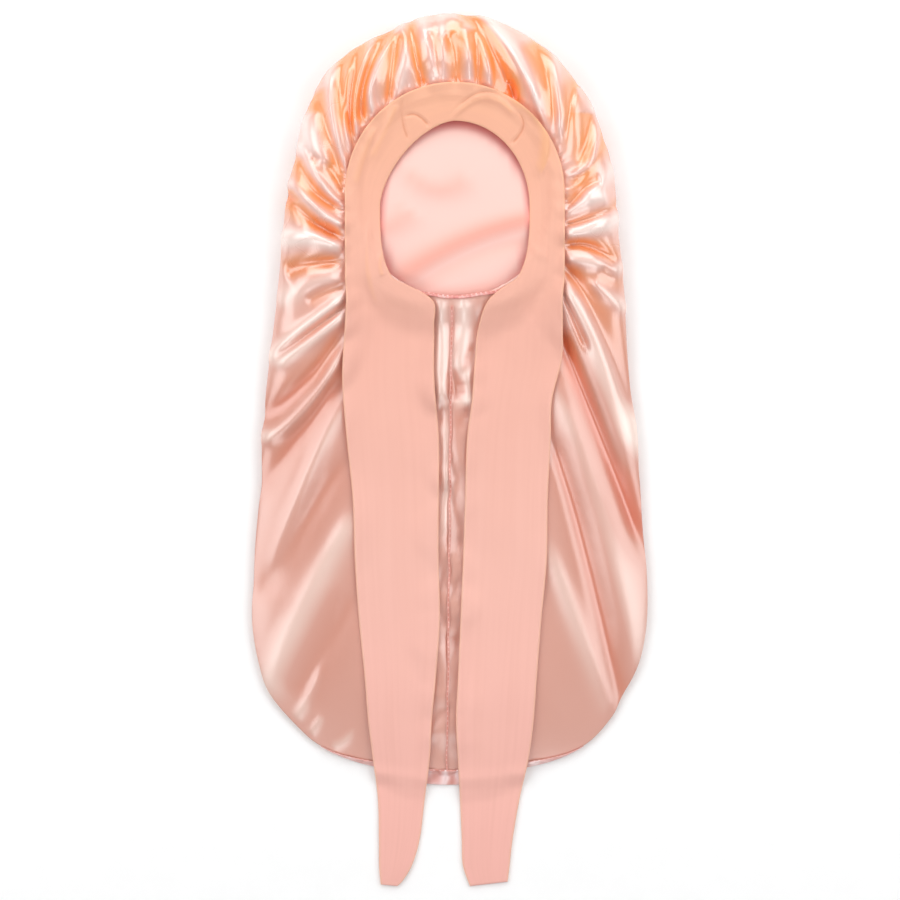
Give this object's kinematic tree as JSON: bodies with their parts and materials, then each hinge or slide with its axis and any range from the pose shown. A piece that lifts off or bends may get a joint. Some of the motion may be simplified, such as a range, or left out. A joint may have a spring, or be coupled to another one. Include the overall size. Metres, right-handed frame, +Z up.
{
  "type": "silk bonnet",
  "caption": "Long satin bonnet for braids, lying flat: a hollow gathered bag with a stretch band round the head opening and long flat ties.",
  "frame": {"origin": "middle of the whole bonnet in plan, on the surface that it lies on", "axes": "+X across the bag, to the right of someone who looks down at the opening; +Y from the hem to the crown; +Z up, out of the opening"},
  "size_m": [0.3602, 0.7958, 0.0508],
  "materials": {
    "satin": "glossy peach pink satin",
    "satin_trim": "folded and stitched peach pink satin",
    "stretch_band": "matte stretch knit",
    "ties": "matte stretch knit"
  },
  "bodies": {
    "root": {"satin_bag": "satin", "nape_casing": "satin_trim", "centre_seam": "satin_trim", "bottom_hem": "satin_trim", "head_band": "stretch_band", "tie_left": "ties", "tie_right": "ties"}
  },
  "joints": []
}
